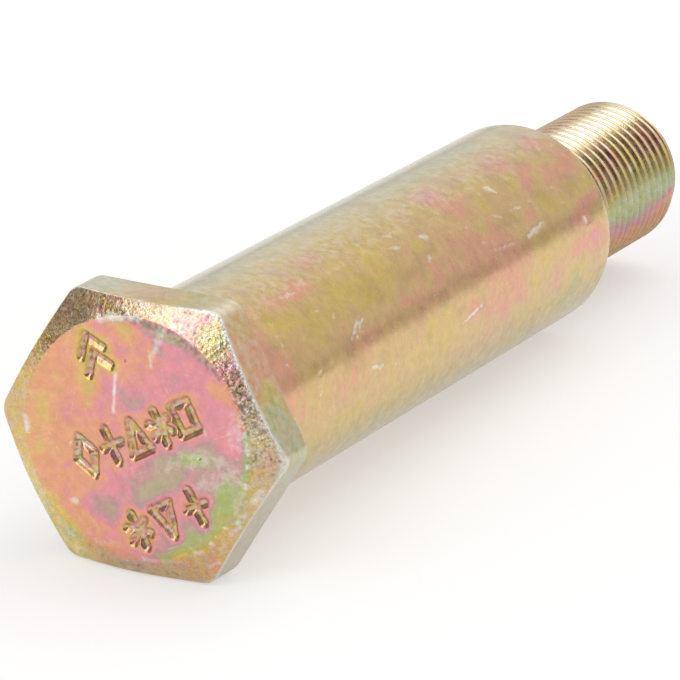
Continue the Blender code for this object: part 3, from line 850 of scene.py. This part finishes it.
class Nodes:
    """Short calls for building one node tree."""

    def __init__(self, tree):
        self.tree = tree

    def feed(self, socket, value):
        if isinstance(value, Wire):
            self.tree.links.new(value.socket, socket)
        else:
            socket.default_value = value

    def add(self, kind, inputs=None, **settings):
        node = self.tree.nodes.new(kind)
        for name, value in settings.items():
            setattr(node, name, value)
        for name, value in (inputs or {}).items():
            self.feed(node.inputs[name], value)
        return node

    def get(self, output, kind, inputs=None, **settings):
        """Adds a node and gives one of its outputs, by name or number."""
        return Wire(self, self.add(kind, inputs, **settings).outputs[output])

    def math(self, operation, first, second=0.0, clamp=False):
        return self.get(0, "ShaderNodeMath", {0: first, 1: second}, operation=operation, use_clamp=clamp)

    def span(self, value, low, high, to_low=0.0, to_high=1.0, smooth=False):
        """Maps the value's stretch from low to high onto the one from to_low to to_high."""
        inputs = {"Value": value, "From Min": low, "From Max": high, "To Min": to_low, "To Max": to_high}
        kind = "SMOOTHSTEP" if smooth else "LINEAR"
        return self.get("Result", "ShaderNodeMapRange", inputs, interpolation_type=kind)

    def noise(self, vector, size, detail=2.0, roughness=0.5):
        """Noise from 0 to 1 with lumps of about the given size in millimetres."""
        inputs = {"Vector": vector, "Scale": 1.0 / (size * MM), "Detail": detail, "Roughness": roughness}
        return self.get("Fac", "ShaderNodeTexNoise", inputs)

    def mix(self, share, first, second, blend="MIX"):
        inputs = {0: share, 6: first, 7: second}
        return self.get(2, "ShaderNodeMix", inputs, data_type="RGBA", blend_type=blend)

    def shade(self, colour, level):
        """The colour made darker or lighter by a level."""
        grey = self.get("Color", "ShaderNodeCombineColor", {0: level, 1: level, 2: level})
        return self.mix(1.0, colour, grey, "MULTIPLY")

    def ramp(self, value, stops):
        node = self.add("ShaderNodeValToRGB", {"Fac": value})
        node.color_ramp.interpolation = "EASE"
        elements = node.color_ramp.elements
        while len(elements) < len(stops):
            elements.new(0.5)
        for element, (place, colour) in zip(elements, stops):
            element.position = place
            element.color = colour
        return Wire(self, node.outputs["Color"])


def new_group(name, inputs, outputs, kind="ShaderNodeTree"):
    """A node group with named sockets: its nodes, its inputs as wires, and its output sockets."""
    tree = bpy.data.node_groups.new(name, kind)
    for direction, sockets in (("INPUT", inputs), ("OUTPUT", outputs)):
        for label, socket in sockets.items():
            tree.interface.new_socket(name=label, in_out=direction, socket_type="NodeSocket" + socket)
    nodes = Nodes(tree)
    given = nodes.add("NodeGroupInput").outputs
    return nodes, {label: Wire(nodes, given[label]) for label in inputs}, nodes.add("NodeGroupOutput").inputs


# Plating

def srgb(red, green, blue):
    """A colour as the eye reads it, from 0 to 255, turned into the linear values of a shader."""
    shares = [level / 255.0 for level in (red, green, blue)]
    linear = [share / 12.92 if share <= 0.04045 else ((share + 0.055) / 1.055) ** 2.4 for share in shares]
    return (*linear, 1.0)


FILM_COLOURS = [
    (LIME, srgb(184, 185, 108)),
    (YELLOW, srgb(222, 190, 90)),
    (GOLD, srgb(222, 184, 118)),
    (ORANGE, srgb(232, 166, 128)),
    (ROSE, srgb(228, 150, 159)),
    (DUSK, srgb(196, 156, 150)),
    (TAUPE, srgb(188, 170, 140)),
    (MINT, srgb(172, 182, 126)),
    (GREEN, srgb(178, 184, 108)),
    (OLIVE, srgb(198, 180, 112)),
    (LIME + AGAIN, srgb(184, 185, 108)),
]
# pale steel of wear and hairlines, also used as painted highlight
BARE_STEEL_AND_HIGHLIGHT = srgb(240, 237, 229)
# brown of dirt, also used as painted shade
GRIME_AND_SHADE = srgb(96, 72, 40)
COAT_ROUGHNESS = 0.16
COAT_IOR = 1.6
HAIRLINE_STRETCH = (0.035, 1.0, 1.0)
PAINTED = ("Film", "Worn_And_Highlight", "Grime_And_Shade", "Grain")     # the mesh's attributes, as inputs of the plating
FLOAT_INPUTS = dict.fromkeys((*PAINTED, "Mottle", "Gloss"), "Float")


def plating_group():
    """Iridescent zinc plating: its colour, roughness and fine height from film, from wear that also pales
    some places into a painted highlight, and from dirt that also lays painted shade.
    """
    nodes, given, out = new_group("iridescent_plating", {"Vector": "Vector", **FLOAT_INPUTS},
                                  {"Color": "Color", "Roughness": "Float", "Height": "Float"})
    vector = given["Vector"]
    speck = nodes.noise(vector, 0.16, 1.0)
    broad = nodes.noise(vector, 2.6, 3.0, 0.6) - 0.5
    fine = nodes.noise(vector, 0.55, 3.0, 0.6) - 0.5
    drift = (broad * 0.26 + fine * 0.2) * given["Mottle"]
    film = nodes.math("FRACT", given["Film"] + drift + AGAIN)
    shade = nodes.span(nodes.noise(vector, 0.9, 4.0, 0.65), 0.3, 0.7, 0.88, 1.06)
    colour = nodes.shade(nodes.ramp(film, FILM_COLOURS), shade)

    breakup = nodes.noise(vector, 0.8, 4.0, 0.6) + speck * 0.2
    # wear, and places paled into a painted highlight, mix towards the pale steel
    bare_and_highlight = nodes.span(given["Worn_And_Highlight"] + (breakup - 0.6), 0.12, 0.85)
    colour = nodes.mix(bare_and_highlight * 0.9, colour, BARE_STEEL_AND_HIGHLIGHT)
    # dirt and painted shade darken the colour towards the brown
    soil_and_shade = nodes.math("MULTIPLY", given["Grime_And_Shade"], nodes.span(breakup, 0.45, 0.8, 0.6, 1.3), clamp=True)
    colour = nodes.mix(soil_and_shade * 0.8, colour, GRIME_AND_SHADE)

    # the grain also lightens and darkens the colour in specks: painted glints and painted shade in its pits
    grit = nodes.noise(vector, 0.2, 2.0, 0.6)
    colour = nodes.shade(colour, (grit - 0.47) * (given["Grain"] * 3.2) + 1.0)
    rough = nodes.span(nodes.noise(vector, 1.4, 3.0), 0.3, 0.7, 0.0, 0.12) + given["Gloss"]
    height = nodes.noise(vector, 0.5, 3.0, 0.6) + speck * 0.35 - bare_and_highlight * 0.2 + grit * given["Grain"] * 2.6
    nodes.feed(out["Color"], colour)
    nodes.feed(out["Roughness"], rough + bare_and_highlight * 0.08 + soil_and_shade * 0.2)
    nodes.feed(out["Height"], height)
    return nodes.tree


def hairline_group():
    """Fine straight scratches, drawn out along the vector's x."""
    nodes, given, out = new_group("hairlines", {"Vector": "Vector", "Amount": "Float"}, {"Mask": "Float"})
    inputs = {"Vector": given["Vector"], "Scale": HAIRLINE_STRETCH}
    stretched = nodes.get("Vector", "ShaderNodeMapping", inputs)
    lines = nodes.span(nodes.noise(stretched, 0.12, 1.0), 0.66, 0.76, smooth=True)
    broken = nodes.span(nodes.noise(given["Vector"], 2.2, 2.0), 0.5, 0.62, smooth=True)
    nodes.feed(out["Mask"], lines * broken * given["Amount"])
    return nodes.tree


PLATING = plating_group()
HAIRLINES = hairline_group()

# Plated materials in the order of their slots: name, mottle, gloss, height of the fine grain in
# millimetres, coat, and the turn in degrees and the amount of each set of hairlines
PLATED = [
    ("plated_head_face", 1.1, 0.2, 0.016, 0.35, [((0, 28, 0), 0.45), ((0, -58, 0), 0.4), ((0, 80, 0), 0.3)]),
    ("plated_head_sides", 0.6, 0.24, 0.02, 0.35, [((0, 0, 60), 0.5), ((40, 70, 0), 0.5)]),
    ("plated_shoulder", 1.05, 0.21, 0.005, 0.7, [((0, 0, 8), 0.35), ((0, 0, 75), 0.35)]),
    ("plated_thread", 0.5, 0.13, 0.01, 0.15, []),
]


def plated(name, mottle, gloss, grain, coat, hairlines):
    """A plated material, with pale hairlines that also cut into its height."""
    material = bpy.data.materials.new(name)
    material.use_nodes = True
    nodes = Nodes(material.node_tree)
    shader = material.node_tree.nodes["Principled BSDF"].inputs
    place = nodes.get("Object", "ShaderNodeTexCoord")
    inputs = {"Vector": place, "Mottle": mottle, "Gloss": gloss}
    for label in PAINTED:
        inputs[label] = nodes.get("Fac", "ShaderNodeAttribute", attribute_name=label.lower())
    plating = nodes.add("ShaderNodeGroup", inputs, node_tree=PLATING)
    colour, rough, height = (Wire(nodes, socket) for socket in plating.outputs)
    marks = None
    for turn, amount in hairlines:
        rotation = [math.radians(angle) for angle in turn]
        turned = nodes.get("Vector", "ShaderNodeMapping", {"Vector": place, "Rotation": rotation})
        mask = nodes.get("Mask", "ShaderNodeGroup", {"Vector": turned, "Amount": amount}, node_tree=HAIRLINES)
        marks = nodes.math("MAXIMUM", marks, mask) if marks else mask
    if marks:
        ragged = nodes.span(nodes.noise(place, 0.3, 3.0, 0.7), 0.36, 0.52, 0.25, 1.0)
        marks = nodes.math("MULTIPLY", marks, ragged, clamp=True)
        colour = nodes.mix(marks, colour, BARE_STEEL_AND_HIGHLIGHT)
        rough = rough + marks * 0.12
        height = height - marks * 0.5
    bump = nodes.get("Normal", "ShaderNodeBump", {"Height": height, "Distance": grain * MM})
    for label, value in (("Base Color", colour), ("Roughness", rough), ("Normal", bump), ("Metallic", 1.0),
                         ("Coat Weight", coat), ("Coat Roughness", COAT_ROUGHNESS), ("Coat IOR", COAT_IOR)):
        nodes.feed(shader[label], value)
    return material


# The thread, cut by Geometry Nodes

THREAD_SIZES = {
    "Start": SHOULDER_LENGTH, "Radius": THREAD_RADIUS, "Pitch": PITCH, "Depth": THREAD_DEPTH,
    "Crest Share": CREST_SHARE, "Root Share": ROOT_SHARE, "Runout": THREAD_RUNOUT,
}


def thread_tree():
    """Cuts a helical groove into the round end of a mesh that lies along y, and gives it its material."""
    surface = {"Geometry": "Geometry"}
    inputs = {**surface, **dict.fromkeys(THREAD_SIZES, "Float"), "Slot": "Int", "Material": "Material"}
    nodes, given, out = new_group("cut_thread", inputs, surface, "GeometryNodeTree")
    nodes.tree.is_modifier = True
    position = nodes.get("Position", "GeometryNodeInputPosition")
    x, y, z = (Wire(nodes, socket) for socket in nodes.add("ShaderNodeSeparateXYZ", {0: position}).outputs)
    along = y - given["Start"]
    turns = nodes.math("ARCTAN2", z, x) / math.tau
    share = nodes.math("FRACT", along / given["Pitch"] + turns)
    from_root = nodes.math("ABSOLUTE", share - 0.5)
    crest_edge = nodes.math("SUBTRACT", 0.5, given["Crest Share"] / 2.0)
    root_edge = given["Root Share"] / 2.0
    straight = nodes.span(from_root, crest_edge, root_edge)
    rounded = nodes.span(from_root, crest_edge, root_edge, smooth=True)
    profile = (straight * 0.75 + rounded * 0.25) * nodes.span(along, 0.0, given["Runout"])
    radius = nodes.math("SQRT", x * x + z * z)
    groove = given["Radius"] - profile * given["Depth"]
    scale = nodes.math("MINIMUM", radius, groove) / nodes.math("MAXIMUM", radius, 1e-6)
    cut = nodes.get("Vector", "ShaderNodeCombineXYZ", {0: x * scale, 1: y, 2: z * scale})
    on_thread = nodes.math("GREATER_THAN", along, 1e-6)
    moved = nodes.get("Geometry", "GeometryNodeSetPosition",
                      {"Geometry": given["Geometry"], "Selection": on_thread, "Position": cut})
    plain = nodes.get("Geometry", "GeometryNodeRealizeInstances", {"Geometry": moved})
    slot = nodes.get(0, "GeometryNodeInputMaterialIndex")
    same = nodes.get("Result", "FunctionNodeCompare", {"A": slot, "B": given["Slot"]},
                     data_type="INT", operation="EQUAL")
    inputs = {"Geometry": plain, "Selection": same, "Material": given["Material"]}
    nodes.feed(out["Geometry"], nodes.get("Geometry", "GeometryNodeSetMaterial", inputs))
    return nodes.tree


def cut_thread(blank):
    """The blank's mesh with its thread, as a plain mesh."""
    tree = thread_tree()
    values = {**THREAD_SIZES, "Slot": THREAD, "Material": blank.materials[THREAD]}
    holder = add_object("thread_blank", blank)
    modifier = holder.modifiers.new("cut_thread", "NODES")
    modifier.node_group = tree
    for item in tree.interface.items_tree:
        if item.in_out == "INPUT" and item.name in values:
            modifier[item.identifier] = values[item.name]
    depsgraph = bpy.context.evaluated_depsgraph_get()
    mesh = bpy.data.meshes.new_from_object(holder.evaluated_get(depsgraph))
    bpy.data.objects.remove(holder, do_unlink=True)
    return mesh


def add_bolt():
    blank = build_bolt()
    for looks in PLATED:
        blank.materials.append(plated(*looks))
    mesh = cut_thread(blank)
    dress_bolt(mesh)
    bolt = add_object("bolt", mesh)
    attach(bolt, "root")
    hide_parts("shoulder_bolt")


# Studio. Azimuths are in degrees from -y round towards +x, elevations up from the ground.

SENSOR = 36.0
CAMERA_LENS = 270.3
CAMERA_AZIMUTH = 27.63
CAMERA_ELEVATION = 19.9
CAMERA_ROLL = 0.72
CAMERA_FROM_HEAD = Vector((222.4, -384.0, 170.6)) * MM
PAPER_GLOW = 0.46                   # of the floor, for rays that should see it white
FILL_LEVEL = 0.50                   # of the world, for the light that it gives
FLOOR_REACH = 4.0
WHITE = (1.0, 1.0, 1.0, 1.0)

# Soft boxes that look at the bolt from 1 m off: name, azimuth, elevation, width, height and power
LAMPS = [("window", -13, 34, 0.5, 0.7, 1.9), ("top_light", 150, 62, 0.9, 0.9, 2.8)]

# Upright cards that show only in reflections: name, two azimuths, two elevations, distance and level
CARDS = [
    ("camera_side_card", (2.5, 38), (-1, 50), 0.95, 0.05),
    ("left_card", (-31, -75), (-1, 42), 0.95, 0.21),
    ("low_back_card", (120, 195), (0, 6), 0.9, 0.45),
    ("back_card", (120, 195), (6, 14), 0.9, 0.72),
    ("high_back_card", (120, 195), (14, 38), 0.9, 0.7),
    ("far_left_card", (195, 224), (6, 38), 0.9, 0.74),
    ("low_far_left_card", (195, 224), (0, 6), 0.9, 0.46),
]


def direction(azimuth, elevation):
    azimuth, elevation = math.radians(azimuth), math.radians(elevation)
    return Vector((math.sin(azimuth) * math.cos(elevation), -math.cos(azimuth) * math.cos(elevation),
                   math.sin(elevation)))


def add_camera():
    data = bpy.data.cameras.new("camera")
    camera = add_object("camera", data)
    data.sensor_width = SENSOR
    data.lens = CAMERA_LENS
    data.clip_end = 10.0
    ahead = -direction(CAMERA_AZIMUTH, CAMERA_ELEVATION)
    roll = Matrix.Rotation(math.radians(CAMERA_ROLL), 3, "Z")
    turn = ahead.to_track_quat("-Z", "Y").to_matrix() @ roll
    camera.matrix_world = Matrix.Translation(HEAD_CENTRE + CAMERA_FROM_HEAD) @ turn.to_4x4()
    bpy.context.scene.camera = camera


def backdrop_rays(nodes):
    """1 for rays that should meet the plain white background: seen, mirrored or refracted."""
    rays = nodes.add("ShaderNodeLightPath")
    seen, mirrored, refracted = (Wire(nodes, rays.outputs["Is %s Ray" % kind])
                                 for kind in ("Camera", "Glossy", "Transmission"))
    return nodes.math("MAXIMUM", nodes.math("MAXIMUM", seen, mirrored), refracted)


def set_world():
    world = bpy.data.worlds.new("studio")
    bpy.context.scene.world = world
    world.use_nodes = True
    nodes = Nodes(world.node_tree)
    background = world.node_tree.nodes["Background"].inputs
    nodes.feed(background["Color"], WHITE)
    nodes.feed(background["Strength"], nodes.span(backdrop_rays(nodes), 0.0, 1.0, FILL_LEVEL, 1.0))


def add_sheet(name, corners, grey):
    """A flat matt grey piece that can glow. Returns it, its material's nodes and its shader's inputs."""
    mesh = bpy.data.meshes.new(name)
    mesh.from_pydata(corners, [], [(0, 1, 2, 3)])
    material = bpy.data.materials.new(name)
    material.use_nodes = True
    shader = material.node_tree.nodes["Principled BSDF"].inputs
    shader["Base Color"].default_value = (grey, grey, grey, 1.0)
    shader["Specular IOR Level"].default_value = 0.0
    shader["Emission Color"].default_value = WHITE
    mesh.materials.append(material)
    return add_object(name, mesh), Nodes(material.node_tree), shader


def add_floor():
    corners = [(x * FLOOR_REACH, y * FLOOR_REACH, 0.0) for x, y in ((-1, -1), (1, -1), (1, 1), (-1, 1))]
    floor, nodes, shader = add_sheet("floor", corners, 0.7)
    floor.active_material.name = "white_paper"
    nodes.feed(shader["Roughness"], 1.0)
    nodes.feed(shader["Emission Strength"], backdrop_rays(nodes) * PAPER_GLOW)


def add_lamp(name, azimuth, elevation, width, height, power):
    data = bpy.data.lights.new(name, "AREA")
    data.shape = "RECTANGLE"
    data.size = width
    data.size_y = height
    data.energy = power
    back = direction(azimuth, elevation)
    turn = back.to_track_quat("Z", "Y").to_matrix().to_4x4()
    add_object(name, data).matrix_world = Matrix.Translation(ORIGIN + back) @ turn


def add_card(name, azimuths, elevations, distance, level):
    first, last = (direction(azimuth, 0.0) * distance for azimuth in azimuths)
    low, high = (Vector((0.0, 0.0, distance * math.tan(math.radians(elevation)))) for elevation in elevations)
    card, nodes, shader = add_sheet(name, [first + low, last + low, last + high, first + high], 0.0)
    nodes.feed(shader["Emission Strength"], level)
    card.visible_camera = False
    card.visible_diffuse = False
    card.visible_shadow = False


bpy.context.scene.view_settings.view_transform = "Standard"
add_bolt()
add_camera()
set_world()
add_floor()
for lamp in LAMPS:
    add_lamp(*lamp)
for card in CARDS:
    add_card(*card)
